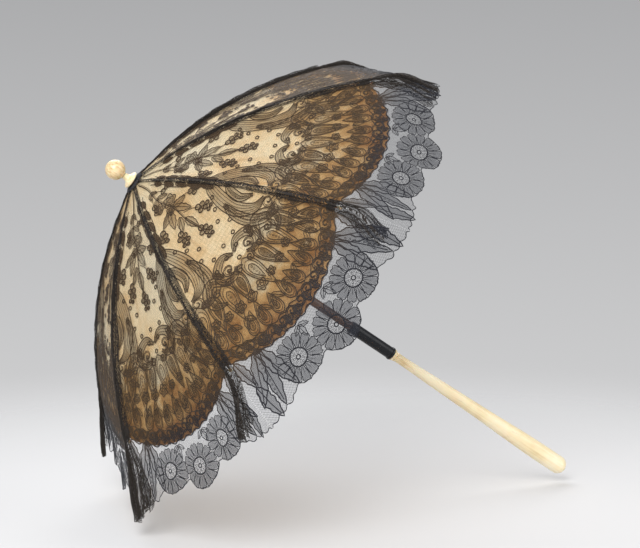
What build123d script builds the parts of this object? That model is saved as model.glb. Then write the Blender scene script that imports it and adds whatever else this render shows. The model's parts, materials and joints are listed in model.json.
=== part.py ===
from build123d import *
import math
import os

# A lace parasol: a silk canopy under a lace cover on eight steel ribs, a stick that carries the
# ferrule, the runner and a folding joint under a sliding sleeve, and an ivory handle.
# Every piece is modelled upright, with the stick along +Z and the ferrule on top, and is then
# tilted into the attitude in which the parasol is held. Lengths are millimetres, angles degrees.
# A "station" is a distance below the canopy's apex, measured along the stick.

# ---- Driving dimensions -------------------------------------------------------------------

stick_tilt = 33.2           # the stick's handle end points this far below the horizontal
handle_end_station = 638.0  # apex to the end of the handle

rib_count = 8
first_rib_angle = 13.3      # about the stick, from its upper side towards +Y
canopy_radius = 236.0       # stick axis to a rib's tip
canopy_depth = 115.0        # rib pivot to rib tip, along the stick
rib_half_turn = 14.0        # half of the angle that a rib curves through
rib_fold = 55.0             # how far a rib turns to close
stretcher_join = 0.40       # where the stretcher is riveted, as a part of the rib's length

stick_radius = 5.0
pivot_radius = 9.5          # the rings of wire that the ribs and the stretchers hinge on
pivot_station = 10.0
handle_start_station = 362.0
grip_radius = 10.9
grip_length = 28.0          # the cylindrical stretch before the handle's rounded end

sleeve_length = 62.0
sleeve_travel = 32.0
sleeve_radius = 6.9
fold_pin_station = 341.0

silk_thickness = 0.5
lace_thickness = 0.4
layer_gap = 0.3             # silk to lace, and panel to panel
silk_scallop = 38.0         # how much further the silk hangs in mid-gore than at a rib
flounce_start = 42.0        # where the lace leaves the canopy's curve, past a rib's tip
flounce_length = 50.0
flounce_mean_drop = 55.0    # the flounce's angle below the rim's plane, on average
flounce_drop_change = 17.0  # and how much steeper it is on the upper side

# ---- Derived values -----------------------------------------------------------------------

grip_station = handle_end_station - grip_radius - grip_length / 2
gore_angle = 360.0 / rib_count
half_gore = gore_angle / 2
sheet_squeeze = math.cos(math.radians(half_gore))
running_gap = 0.15
wire_radius = 0.5
wire_gap = 0.05
rib_thickness = 2.0
rib_width = 2.2
eye_radius = 1.8
slot_width = rib_width + 0.4
silk_offset = rib_thickness / 2 + 1.0
upright_to_held = Rot(0, stick_tilt - 90, 0)


def level(station):
    """Height of a station in the upright frame, whose origin is the middle of the grip."""
    return grip_station - station


def make_curve(start, end, half_turn):
    """Circular arc in the rib's plane: its start, first drop angle, radius and whole turn."""
    run = end[0] - start[0]
    fall = start[1] - end[1]
    radius = math.hypot(run, fall) / (2 * math.sin(math.radians(half_turn)))
    drop = math.degrees(math.atan2(fall, run)) - half_turn
    return start, drop, radius, 2 * half_turn


def curve_drop(curve, fraction):
    """Angle below the horizontal at a fraction of the arc."""
    start, drop, radius, turn = curve
    return drop + fraction * turn


def curve_point(curve, fraction, offset=0.0):
    """Point at a fraction of the arc, moved outwards by an offset."""
    start, drop, radius, turn = curve
    first = math.radians(drop)
    here = math.radians(curve_drop(curve, fraction))
    across = start[0] + radius * (math.sin(here) - math.sin(first)) + offset * math.sin(here)
    up = start[1] - radius * (math.cos(first) - math.cos(here)) + offset * math.cos(here)
    return across, up


def curve_length(curve):
    start, drop, radius, turn = curve
    return radius * math.radians(turn)


rib_pivot = (pivot_radius, level(pivot_station))
rib_tip = (canopy_radius, level(pivot_station + canopy_depth))
rib_curve = make_curve(rib_pivot, rib_tip, rib_half_turn)
rib_length = curve_length(rib_curve)

rivet_below_rib = 0.9
rivet_radius = 0.6
rivet_head_radius = 1.2
rivet_head_thickness = 0.5
rivet_point = curve_point(rib_curve, stretcher_join, -rivet_below_rib)
stretcher_length = math.hypot(rivet_point[0] - rib_pivot[0], rib_pivot[1] - rivet_point[1])
open_angle = math.degrees(math.asin((rivet_point[0] - pivot_radius) / stretcher_length))
closed_angle = open_angle - rib_fold
runner_open_station = pivot_station + 2 * stretcher_length * math.cos(math.radians(open_angle))
runner_closed_station = pivot_station + 2 * stretcher_length * math.cos(math.radians(closed_angle))
runner_travel = runner_closed_station - runner_open_station
runner_point = (pivot_radius, level(runner_open_station))

crown_radius = 6.5
crown_station = 3.2
silk_curve = make_curve((crown_radius, level(crown_station)),
                        curve_point(rib_curve, 1.0, silk_offset), rib_half_turn)
lace_offset = silk_thickness + layer_gap


# ---- Small helpers ------------------------------------------------------------------------

def at(point, y=0.0):
    """A rib-plane point (distance out, height) as a point in space."""
    return Vector(point[0], y, point[1])


def turned(outline):
    """Solid of revolution about the stick from (radius, station) corners."""
    corners = [at((radius, level(station))) for radius, station in outline]
    edges = [Line(a, b) for a, b in zip(corners, corners[1:] + corners[:1])]
    return revolve(make_face(edges), Axis.Z)


def tube(outer, inner, first_station, last_station):
    """Hollow cylinder round the stick between two stations."""
    return turned([(inner, first_station), (outer, first_station),
                   (outer, last_station), (inner, last_station)])


def cross_pin(point, radius, length):
    """Cylinder square to the rib's plane, centred on it."""
    return Pos(*at(point)) * Rot(90, 0, 0) * Cylinder(radius, length)


def bar_between(first, last, thickness, width, y=0.0):
    """Straight flat bar in the rib's plane between two points."""
    run = last[0] - first[0]
    rise = last[1] - first[1]
    middle = ((first[0] + last[0]) / 2, (first[1] + last[1]) / 2)
    angle = math.degrees(math.atan2(rise, run))
    return Pos(*at(middle, y)) * Rot(0, -angle, 0) * Box(math.hypot(run, rise), width, thickness)


def along(first, last, distance):
    """Point at a distance from first towards last."""
    whole = math.hypot(last[0] - first[0], last[1] - first[1])
    return (first[0] + (last[0] - first[0]) * distance / whole,
            first[1] + (last[1] - first[1]) * distance / whole)


def slot_boxes(station, depth, inner_radius, width):
    """Radial slots through a hinge flange, one for each rib."""
    reach = notch_radius
    one = Pos(inner_radius + reach / 2, 0, level(station)) * Box(reach, width, depth)
    return [Rot(0, 0, rib_angle(index)) * one for index in range(rib_count)]


def wire_ring(station, radius):
    """Full ring of the given wire radius on the hinge circle."""
    return Pos(0, 0, level(station)) * Torus(pivot_radius, radius)


def rib_angle(index):
    return first_rib_angle + gore_angle * index


def save(name, solid):
    """Tilt an upright piece into the held attitude and write it as its own file."""
    held = upright_to_held * solid
    held.label = name
    export_step(held, os.path.join("parts", name + ".step"))


# ---- Ferrule and crown --------------------------------------------------------------------

ball_station = -22.0
ball_radius = 10.7
collar_top_station = -11.2
collar_base_station = -1.4
collar_radius = 9.6
collar_neck_radius = 3.6
spigot_radius = 3.0
spigot_station = -6.0
rosette_thickness = 0.8
rosette_radius = 13.5
rosette_points = 14
rosette_notch = 3.2
neck_radius = 2.9
neck_length = 1.6
peg_radius = 1.5
peg_length = 2.4
peg_gap = 0.05


def ball_finial():
    """Turned ball with a short neck and a peg that glues into the collar."""
    ball = Pos(0, 0, level(ball_station)) * Sphere(ball_radius)
    neck = tube(neck_radius, 0, collar_top_station - neck_length, collar_top_station)
    peg = tube(peg_radius, 0, collar_top_station - neck_length / 2, collar_top_station + peg_length)
    return ball + neck + peg


def ferrule_collar():
    """Trumpet-shaped collar between the ball and the canopy."""
    flare = Spline(at((collar_neck_radius, level(collar_top_station + 0.6))),
                   at((collar_neck_radius + 0.7, level(-6.6))),
                   at((collar_radius - 0.6, level(collar_base_station - 2.0))),
                   tangents=[(0, 0, -1), (1, 0, -0.9)])
    top = at((0, level(collar_top_station)))
    lip = at((collar_neck_radius - 0.4, level(collar_top_station)))
    rim_top = at((collar_radius, level(collar_base_station - 1.4)))
    rim_low = at((collar_radius - 0.2, level(collar_base_station)))
    base = at((0, level(collar_base_station)))
    edges = [Line(top, lip), Line(lip, flare @ 0), flare, Line(flare @ 1, rim_top),
             Line(rim_top, rim_low), Line(rim_low, base), Line(base, top)]
    body = revolve(make_face(edges), Axis.Z)
    peg_hole = tube(peg_radius + peg_gap, 0, collar_top_station - 1, collar_top_station + peg_length + 0.4)
    spigot_hole = tube(spigot_radius + wire_gap, 0, spigot_station - 0.4, collar_base_station + 1)
    return body - peg_hole - spigot_hole


def rosette():
    """Pinked disc of black ribbon that hides the gathers under the collar."""
    corners = []
    for index in range(2 * rosette_points):
        reach = rosette_radius if index % 2 == 0 else rosette_radius - rosette_notch
        turn = math.radians(180 * index / rosette_points)
        corners.append((reach * math.cos(turn), reach * math.sin(turn)))
    star = make_face(Polyline(*corners, close=True))
    disc = Pos(0, 0, level(stick_shoulder_station)) * extrude(star, rosette_thickness)
    return disc - tube(spigot_radius + wire_gap, 0, spigot_station, rosette_radius)


# ---- Stick and its folding joint ----------------------------------------------------------

stick_shoulder_station = collar_base_station + rosette_thickness
stick_end_station = 326.0
joint_radius = 5.85
joint_cap_station = 316.0
fork_start_station = 332.0
fork_end_station = 348.0
tongue_base_station = 350.0
tongue_half = 1.5
tongue_width = 9.0
fold_pin_radius = 1.0
fold_pin_length = 10.6
fold_pin_gap = 0.05
shank_end_station = 373.0

runner_top = 4.0            # the runner's top edge, above its hinge circle
runner_bottom = 36.0        # its lower edge, below the hinge circle
catch_length = 14.0
catch_width = 1.2
catch_reach = 2.4           # how far a catch spring stands out of the stick
catch_root = 2.2            # how deep its fixed end lies in the stick
catch_step = 2.0            # the square step that holds the runner
catch_slot_depth = 4.0
catch_slot_spare = 6.0      # the slot's length beyond the spring's
through_hole = 20.0         # cutting length for a hole right through the stick
top_catch_station = runner_open_station + runner_bottom + 1.0
bottom_catch_station = runner_closed_station - runner_top - 1.0 - catch_length


def catch_slot(first_station):
    """Groove in the stick's near side that a catch spring lies in."""
    middle = Pos(0, -stick_radius + catch_slot_depth / 2 - 0.01, level(first_station + catch_length / 2))
    return middle * Box(catch_width + 0.4, catch_slot_depth, catch_length + catch_slot_spare)


def stick():
    """Turned rod from the ferrule's spigot to the folding joint."""
    rod = turned([(0, spigot_station), (spigot_radius, spigot_station),
                  (spigot_radius, stick_shoulder_station), (stick_radius, stick_shoulder_station),
                  (stick_radius, stick_end_station),
                  (0, stick_end_station)])
    stop_hole = cross_pin((0, level(stop_pin_station)), stop_pin_radius, through_hole)
    return rod - catch_slot(top_catch_station) - catch_slot(bottom_catch_station) - stop_hole


def catch_spring(first_station, square_end_first):
    """Bent strip: it rises gently out of the stick and ends in a square step for the runner."""
    low = -stick_radius + catch_root
    high = -stick_radius - catch_reach
    start = level(first_station)
    end = level(first_station + catch_length)
    if square_end_first:
        corners = [(low, start), (high, start), (high, start - catch_step), (low + 0.4, end),
                   (low + 1.2, end), (low + 1.2, start)]
    else:
        corners = [(low, end), (high, end), (high, end + catch_step), (low + 0.4, start),
                   (low + 1.2, start), (low + 1.2, end)]
    points = [Vector(-catch_width / 2, y, z) for y, z in corners]
    face = make_face([Line(a, b) for a, b in zip(points, points[1:] + points[:1])])
    return extrude(face, catch_width, dir=(1, 0, 0))


stop_pin_radius = 0.8
stop_pin_length = 12.6
stop_pin_station = runner_open_station - runner_top - stop_pin_radius - 0.1


def stop_pin():
    """Cross pin that the open runner comes up against."""
    return cross_pin((0, level(stop_pin_station)), stop_pin_radius - 0.02, stop_pin_length)


def joint_fork():
    """Cap on the stick's end with the two cheeks of the folding joint."""
    cap = tube(joint_radius, 0, joint_cap_station, fork_start_station)
    socket = tube(stick_radius + wire_gap, 0, joint_cap_station - 1, stick_end_station)
    cheeks = tube(joint_radius, 0, fork_start_station, fork_end_station)
    gap = Pos(0, 0, level((fork_start_station + fork_end_station) / 2 + 1)) * Box(
        through_hole, 2 * (tongue_half + 0.1), fork_end_station - fork_start_station + 2)
    hole = cross_pin((0, level(fold_pin_station)), fold_pin_radius + fold_pin_gap, through_hole)
    return cap - socket + (cheeks - gap) - hole


def joint_tongue():
    """Tongue of the folding joint, on a shank let into the handle."""
    collar = tube(joint_radius, 0, tongue_base_station, handle_start_station - 0.3)
    shank = tube(spigot_radius, 0, handle_start_station - 1, shank_end_station)
    blade = Pos(0, 0, level((fold_pin_station + tongue_base_station) / 2)) * Box(
        tongue_width, 2 * tongue_half, tongue_base_station - fold_pin_station + 0.2)
    knuckle = cross_pin((0, level(fold_pin_station)), tongue_width / 2, 2 * tongue_half)
    hole = cross_pin((0, level(fold_pin_station)), fold_pin_radius + fold_pin_gap, through_hole)
    return collar + shank + blade + knuckle - hole


def joint_pin():
    return cross_pin((0, level(fold_pin_station)), fold_pin_radius, fold_pin_length)


def sleeve():
    """Black tube that locks the folding joint, with a lip at the top and a rolled lower rim."""
    top = handle_start_station - sleeve_length
    low = handle_start_station
    rim_radius = sleeve_radius + 0.7
    bore = joint_radius + running_gap
    lip_bore = stick_radius + 0.2
    return turned([(lip_bore, top), (sleeve_radius - 0.5, top), (sleeve_radius, top + 1),
                   (sleeve_radius, low - 3.2), (rim_radius, low - 2.6), (rim_radius, low - 0.6),
                   (sleeve_radius + 0.3, low), (bore, low), (bore, top + 3), (lip_bore, top + 3)])


def handle():
    """Slender ivory handle: a ring moulding, a long swelling taper, the grip and a round end."""
    first = handle_start_station + 0.1
    swell_start = first + 9.0
    grip_first = grip_station - grip_length / 2
    grip_last = grip_station + grip_length / 2
    corners = [(0, first), (6.5, first), (6.9, first + 1.2), (6.5, first + 2.6), (5.3, first + 3.2),
               (5.2, first + 4.6), (5.9, first + 5.4), (5.3, first + 6.4), (5.3, swell_start)]
    points = [at((radius, level(station))) for radius, station in corners]
    edges = [Line(a, b) for a, b in zip(points, points[1:])]
    grip_top = at((grip_radius, level(grip_first)))
    swell = Spline(points[-1], at((6.3, level(420))), at((8.7, level(520))), grip_top,
                   tangents=[(0, 0, -1), (0, 0, -1)])
    grip_low = at((grip_radius, level(grip_last)))
    diagonal = grip_radius * math.sqrt(0.5)
    shoulder = at((diagonal, level(grip_last + diagonal)))
    end = at((0, level(handle_end_station)))
    round_end = ThreePointArc(grip_low, shoulder, end)
    edges += [swell, Line(grip_top, grip_low), round_end, Line(end, points[0])]
    shank_hole = tube(spigot_radius + wire_gap, 0, first - 1, shank_end_station + 0.5)
    return revolve(make_face(edges), Axis.Z) - shank_hole


# ---- Hinge rings and runner ---------------------------------------------------------------

hub_radius = 7.2
slot_floor = 7.5
notch_radius = 12.6
notch_half_height = 3.2
notch_top_station = 4.6
notch_end_station = 17.0
slot_height = 10.0
flange_half_height = 2.6


def top_notch():
    """Brass crown fixed to the stick: a slotted flange that the ribs hinge in."""
    hub = tube(hub_radius, stick_radius + wire_gap, notch_top_station, notch_end_station)
    flange = tube(notch_radius, hub_radius - 0.1, pivot_station - notch_half_height,
                  pivot_station + notch_half_height)
    body = hub + flange - wire_ring(pivot_station, wire_radius + wire_gap)
    for box in slot_boxes(pivot_station, slot_height, slot_floor, slot_width):
        body -= box
    return body


def notch_wire():
    """Closed ring of wire that threads the ribs' eyes."""
    return wire_ring(pivot_station, wire_radius)


def runner():
    """Sliding tube with a slotted flange for the stretchers and a beaded lower edge."""
    here = runner_open_station
    bore = stick_radius + running_gap
    flange_top = here - flange_half_height
    flange_low = here + flange_half_height
    end = here + runner_bottom
    tube_radius = 6.6
    bead_radius = 8.0
    body = turned([(bore, here - runner_top), (hub_radius, here - runner_top), (hub_radius, flange_top),
                   (notch_radius, flange_top), (notch_radius, flange_low), (hub_radius, flange_low),
                   (tube_radius, flange_low + 1.4), (tube_radius, end - 3.4), (bead_radius, end - 2.6),
                   (bead_radius, end - 0.6), (bead_radius - 0.6, end), (bore, end)])
    body -= wire_ring(here, wire_radius + wire_gap)
    for box in slot_boxes(here, slot_height, slot_floor, slot_width):
        body -= box
    return body


def runner_wire():
    """The stretches of the runner's wire that lie inside the flange, between its slots."""
    ring = wire_ring(runner_open_station, wire_radius)
    for box in slot_boxes(runner_open_station, slot_height, slot_floor - 2, slot_width + 0.1):
        ring -= box
    return ring


# ---- Ribs and stretchers ------------------------------------------------------------------

cheek_inner = rib_width / 2 + 0.2
cheek_thickness = 0.8
fork_length = 10.0
fork_root = 4.0
stretcher_thickness = 1.8


def band(curve, first, last, inner, thickness):
    """Face in the rib's plane between two concentric arcs."""
    middle = (first + last) / 2
    outer = inner + thickness
    low = ThreePointArc(*[at(curve_point(curve, f, inner)) for f in (first, middle, last)])
    high = ThreePointArc(*[at(curve_point(curve, f, outer)) for f in (first, middle, last)])
    return make_face([low, Line(low @ 1, high @ 1), high, Line(high @ 0, low @ 0)])


def rib():
    """Curved steel bar with an eye at the crown and a boss for the stretcher's rivet."""
    bar = extrude(band(rib_curve, 0, 1, -rib_thickness / 2, rib_thickness), rib_width / 2, both=True)
    eye = cross_pin(rib_pivot, eye_radius, rib_width)
    boss = cross_pin(rivet_point, eye_radius - 0.1, rib_width)
    pivot_hole = cross_pin(rib_pivot, wire_radius + 0.1, 2 * rib_width)
    rivet_hole = cross_pin(rivet_point, rivet_radius + wire_gap, 2 * rib_width)
    return bar + eye + boss - pivot_hole - rivet_hole


def rib_end_tip():
    """Small turned tip on the end of a rib, which the canopy's corner is sewn to."""
    drop = curve_drop(rib_curve, 1.0)
    profile = [(0, 0), (1.5, 0), (1.5, 2.4), (1.1, 3.0), (1.1, 4.0), (1.7, 4.8), (1.9, 6.2),
               (1.5, 7.8), (0, 8.6)]
    corners = [Vector(radius, 0, length) for radius, length in profile]
    edges = [Line(a, b) for a, b in zip(corners, corners[1:] + corners[:1])]
    tip = revolve(make_face(edges), Axis.Z)
    return Pos(*at(rib_tip)) * Rot(0, 90 + drop, 0) * tip


def stretcher():
    """Fork, bar and eye, with the rivet at the rib and the wire's stretch at the runner."""
    crotch = along(rivet_point, runner_point, fork_length)
    shoulder = along(rivet_point, runner_point, fork_length + fork_root)
    cheek_middle = cheek_inner + cheek_thickness / 2
    body = bar_between(crotch, shoulder, stretcher_thickness, 2 * (cheek_inner + cheek_thickness))
    body += bar_between(crotch, runner_point, stretcher_thickness, rib_width)
    for side in (-1, 1):
        cheek = bar_between(rivet_point, shoulder, stretcher_thickness, cheek_thickness, side * cheek_middle)
        disc = Pos(0, side * cheek_middle, 0) * cross_pin(rivet_point, eye_radius - 0.1, cheek_thickness)
        body += cheek + disc
    body += cross_pin(runner_point, eye_radius, rib_width)
    body -= cross_pin(rivet_point, rivet_radius + wire_gap, 10)
    body -= cross_pin(runner_point, wire_radius + wire_gap, 10)
    rivet = cross_pin(rivet_point, rivet_radius, 2 * (cheek_inner + cheek_thickness) + 0.1)
    for side in (-1, 1):
        head = cross_pin(rivet_point, rivet_head_radius, rivet_head_thickness)
        rivet += Pos(0, side * (cheek_inner + cheek_thickness + 0.3), 0) * head
    wire_piece = cross_pin(runner_point, wire_radius, slot_width - 0.3)
    return body + rivet + wire_piece


# ---- Canopy panels, each from mid-gore to mid-gore over its rib ---------------------------

sheet_half_width = 160.0


def squeezed(point):
    """A rib-plane point carried to the middle of the flat gore beside it."""
    return point[0] * sheet_squeeze, point[1]


def half_panel(face):
    """Flat-across sheet between a rib's plane and the gap at mid-gore."""
    sheet = extrude(face, sheet_half_width, both=True)
    mid_plane = Plane(origin=(0, layer_gap / 2, 0), x_dir=(1, 0, 0), z_dir=(0, 1, 0))
    side = math.radians(half_gore)
    rib_plane = Plane(origin=(0, 0, 0), x_dir=(math.cos(side), math.sin(side), 0),
                      z_dir=(math.sin(side), -math.cos(side), 0))
    sheet = split(sheet, bisect_by=mid_plane, keep=Keep.TOP)
    return split(sheet, bisect_by=rib_plane, keep=Keep.TOP)


def whole_panel(half):
    """Both halves of a panel, joined along the ridge over the rib."""
    half = Rot(0, 0, -half_gore) * half
    return half + mirror(half, about=Plane.XZ)


def sheet_arcs(curve, last, inner, thickness):
    """Inner and outer arcs of a sheet in the mid-gore plane."""
    fractions = (0, last / 2, last)
    low = [at(squeezed(curve_point(curve, f, inner))) for f in fractions]
    high = [at(squeezed(curve_point(curve, f, inner + thickness))) for f in fractions]
    return low, high


def silk_panel():
    """Silk over one rib, with a hem that dips in mid-gore."""
    last = 1 + silk_scallop / rib_length
    low, high = sheet_arcs(silk_curve, last, 0, silk_thickness)
    inner = ThreePointArc(*low)
    outer = ThreePointArc(*high)
    face = make_face([inner, Line(low[2], high[2]), outer, Line(high[0], low[0])])
    half = half_panel(face)
    corner = curve_point(silk_curve, 1.0)
    at_rib = Vector(corner[0] * sheet_squeeze, corner[0] * math.sin(math.radians(half_gore)), corner[1])
    hem_line = at_rib - low[2]
    away = hem_line.cross(high[2] - low[2])
    towards_crown = away if away.dot(low[0] - low[2]) > 0 else away * -1
    hem_plane = Plane(origin=low[2], x_dir=hem_line, z_dir=towards_crown)
    return whole_panel(split(half, bisect_by=hem_plane, keep=Keep.TOP))


def flounce_drop(index):
    """The flounce's angle below the rim's plane: stiff on the upper side, hanging on the lower."""
    upper_side = math.cos(math.radians(rib_angle(index)))
    return flounce_mean_drop + flounce_drop_change * upper_side


def lace_panel(index):
    """Lace over one rib, with the flounce that stands clear of the silk."""
    last = 1 + flounce_start / rib_length
    low, high = sheet_arcs(silk_curve, last, lace_offset, lace_thickness)
    drop = math.radians(flounce_drop(index))
    down = Vector(math.cos(drop), 0, -math.sin(drop))
    out = Vector(math.sin(drop), 0, math.cos(drop))
    bend = (out + (high[2] - low[2]).normalized()).normalized()
    corner = low[2] + bend * lace_thickness
    inner_end = low[2] + down * flounce_length
    outer_end = inner_end + out * lace_thickness
    edges = [ThreePointArc(*low), Line(low[2], inner_end), Line(inner_end, outer_end),
             Line(outer_end, corner), ThreePointArc(high[0], high[1], corner), Line(high[0], low[0])]
    return whole_panel(half_panel(make_face(edges)))


# ---- Write every node ---------------------------------------------------------------------

os.makedirs("parts", exist_ok=True)

save("ball_finial", ball_finial())
save("ferrule_collar", ferrule_collar())
save("rosette", rosette())
save("stick", stick())
save("top_notch", top_notch())
save("notch_wire", notch_wire())
save("stop_pin", stop_pin())
save("top_catch_spring", catch_spring(top_catch_station, True))
save("bottom_catch_spring", catch_spring(bottom_catch_station, False))
save("joint_fork", joint_fork())
save("joint_tongue", joint_tongue())
save("joint_pin", joint_pin())
save("handle", handle())
save("runner", runner())
save("runner_wire", runner_wire())
save("sleeve", sleeve())

rib_shapes = {"rib": rib(), "rib_tip": rib_end_tip(), "stretcher": stretcher(), "silk_panel": silk_panel()}
for index in range(rib_count):
    spin = Rot(0, 0, rib_angle(index))
    for name, shape in rib_shapes.items():
        save(f"{name}_{index + 1}", spin * shape)
    save(f"lace_panel_{index + 1}", spin * lace_panel(index))

print(f"rib {rib_length:.1f} mm, stretcher {stretcher_length:.1f} mm, open at {open_angle:.1f} degrees")
print(f"runner {runner_open_station:.1f} to {runner_closed_station:.1f} mm, travel {runner_travel:.1f} mm")
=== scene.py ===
import json
import math

import bpy
import numpy as np
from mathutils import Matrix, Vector


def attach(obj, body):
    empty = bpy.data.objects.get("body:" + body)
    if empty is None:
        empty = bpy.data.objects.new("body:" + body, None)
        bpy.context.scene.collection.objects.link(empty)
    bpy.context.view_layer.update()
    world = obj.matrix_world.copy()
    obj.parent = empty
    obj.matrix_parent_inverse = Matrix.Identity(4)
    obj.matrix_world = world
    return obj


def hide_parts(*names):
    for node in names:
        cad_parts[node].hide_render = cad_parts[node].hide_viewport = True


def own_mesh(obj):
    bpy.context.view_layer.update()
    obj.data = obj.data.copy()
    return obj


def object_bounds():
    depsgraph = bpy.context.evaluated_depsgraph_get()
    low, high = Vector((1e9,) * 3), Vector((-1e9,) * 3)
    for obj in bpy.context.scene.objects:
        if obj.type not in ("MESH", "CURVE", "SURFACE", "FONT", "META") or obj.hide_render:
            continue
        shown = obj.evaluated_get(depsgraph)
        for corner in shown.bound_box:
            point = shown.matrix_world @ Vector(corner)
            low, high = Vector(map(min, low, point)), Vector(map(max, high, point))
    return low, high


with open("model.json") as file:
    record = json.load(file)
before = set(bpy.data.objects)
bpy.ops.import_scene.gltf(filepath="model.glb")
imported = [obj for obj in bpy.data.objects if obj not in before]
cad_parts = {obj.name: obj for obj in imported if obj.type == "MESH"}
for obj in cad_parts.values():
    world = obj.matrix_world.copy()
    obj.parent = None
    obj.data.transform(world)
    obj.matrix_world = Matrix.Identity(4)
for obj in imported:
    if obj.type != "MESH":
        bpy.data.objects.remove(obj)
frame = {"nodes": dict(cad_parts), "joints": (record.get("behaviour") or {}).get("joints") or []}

# The lace parasol's looks. Lengths in the canopy's own design are millimetres: "along" is the
# distance from the crown towards the hem, and "across" is the distance from the middle of a gore.
# Everything is carried into the row frame, in metres, by sheet_points().

cad_low, cad_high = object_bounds()
random = np.random.default_rng(11)

# ---- The stick's frame, read from the joints ----------------------------------------------

rib_count = 8
half_gore = math.pi / rib_count
joints = {joint["name"]: joint for joint in frame["joints"]}
down_stick = np.array(joints["runner_slide"]["axis"])
rib_pivots = [np.array(joints[f"rib_{n + 1}_fold"]["pos_m"]) for n in range(rib_count)]
rib_hinges = [np.array(joints[f"rib_{n + 1}_fold"]["axis"]) for n in range(rib_count)]
pivot_centre = (rib_pivots[0] + rib_pivots[rib_count // 2]) / 2
pivot_radius = np.linalg.norm(rib_pivots[0] - pivot_centre) * 1000
pivot_station = 10.0
crown = pivot_centre - down_stick * pivot_station / 1000
first_out = (rib_pivots[0] - pivot_centre) / np.linalg.norm(rib_pivots[0] - pivot_centre)
first_round = rib_hinges[0]
world_up = np.array([0.0, 0.0, 1.0])
upper_side = world_up - down_stick * (world_up @ down_stick)
upper_side /= np.linalg.norm(upper_side)


def out_from_stick(angle):
    """Unit vectors square to the stick, at angles counted from the first rib."""
    angle = np.asarray(angle)[..., None]
    return np.cos(angle) * first_out + np.sin(angle) * first_round


def round_stick(angle):
    """Unit vectors round the stick at those angles."""
    angle = np.asarray(angle)[..., None]
    return np.cos(angle) * first_round - np.sin(angle) * first_out


# ---- The canopy's profile (mm) ------------------------------------------------------------

canopy_radius = 236.0
canopy_depth = 115.0
rib_half_turn = math.radians(14.0)
silk_offset = 2.0
crown_radius = 6.5
crown_station = 3.2
hem_dip = 38.0
hollow_depth = 3.0
flounce_bend = 305.0
bend_length = 26.0
lace_lift = 0.9
normal_step = 0.6
table_step = 1.0
table_length = 400.0
table_turns = 144


def arc_of(start, end):
    """First drop angle, turn and length of the arc between two (radius, station) points."""
    run, fall = end[0] - start[0], end[1] - start[1]
    radius = math.hypot(run, fall) / (2 * math.sin(rib_half_turn))
    return math.atan2(fall, run) - rib_half_turn, 2 * rib_half_turn, radius * 2 * rib_half_turn


rib_drop, rib_turn = arc_of((pivot_radius, pivot_station),
                            (canopy_radius, pivot_station + canopy_depth))[:2]
tip_drop = rib_drop + rib_turn
silk_end = (canopy_radius + silk_offset * math.sin(tip_drop),
            pivot_station + canopy_depth - silk_offset * math.cos(tip_drop))
silk_drop, silk_turn, silk_length = arc_of((crown_radius, crown_station), silk_end)


def smooth_step(value, low, high):
    share = np.clip((value - low) / (high - low), 0, 1)
    return share * share * (3 - 2 * share)


def flounce_drop(angle):
    """Stiff on the canopy's upper side, hanging on its lower side."""
    return np.radians(55 + 17 * (out_from_stick(angle) @ upper_side))


def profile_table():
    """Radius and station over the ribs, for every angle and every distance along."""
    angles = np.linspace(0, 2 * math.pi, table_turns + 1)
    distance = np.arange(0, table_length + table_step, table_step)
    natural = silk_drop + silk_turn * distance / silk_length
    share = smooth_step(distance, flounce_bend - bend_length / 2, flounce_bend + bend_length / 2)
    drop = natural[None, :] * (1 - share) + flounce_drop(angles)[:, None] * share
    steps = (drop[:, 1:] + drop[:, :-1]) / 2
    zero = np.zeros((len(angles), 1))
    radius = crown_radius + np.hstack([zero, np.cumsum(np.cos(steps), axis=1) * table_step])
    station = crown_station + np.hstack([zero, np.cumsum(np.sin(steps), axis=1) * table_step])
    return np.stack([radius, station, drop])


profiles = profile_table()


def profile_at(angle, along):
    """Radius, station and drop over the ribs, by interpolation in the table."""
    row = (np.asarray(angle) % (2 * math.pi)) / (2 * math.pi) * table_turns
    column = np.clip(along, 0, table_length - 1) / table_step
    r0, c0 = np.floor(row).astype(int), np.floor(column).astype(int)
    r1, c1 = np.minimum(r0 + 1, table_turns), c0 + 1
    fr, fc = row - r0, column - c0
    low = profiles[:, r0, c0] * (1 - fc) + profiles[:, r0, c1] * fc
    high = profiles[:, r1, c0] * (1 - fc) + profiles[:, r1, c1] * fc
    return low * (1 - fr) + high * fr


def gore_angle(gore):
    return (2 * gore + 1) * half_gore


def half_width(along, angle):
    """Half of a gore's true width at a distance along."""
    return profile_at(angle, along)[0] * math.sin(half_gore)


gore_phases = random.uniform(0, 2 * math.pi, (rib_count, 6))


def ripple(gore, across, along):
    """Height of the cloth's own waves: a taut hollow between the ribs, then flutes in the flounce."""
    phase = gore_phases[gore % rib_count]
    width = half_width(along, gore_angle(gore))
    share = np.clip(across / width, -1, 1)
    hollow = -hollow_depth * (1 - share ** 2) * np.sin(math.pi * np.clip(along / silk_length, 0, 1)) ** 0.7
    edge = smooth_step(np.abs(share), 0.55, 0.95) * (1 - np.abs(share) ** 8)
    drag = 0.7 * edge * np.sin(along / 17 + phase[0]) * np.sin(along / 41 + phase[1])
    free = smooth_step(along, 285, 365)
    flutes = 2.4 * np.sin(across / 8.6 + phase[2]) + 1.6 * np.sin(across / 4.7 + phase[3] + along / 60)
    return hollow + drag + free * flutes * (1 - np.abs(share) ** 6)


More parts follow.
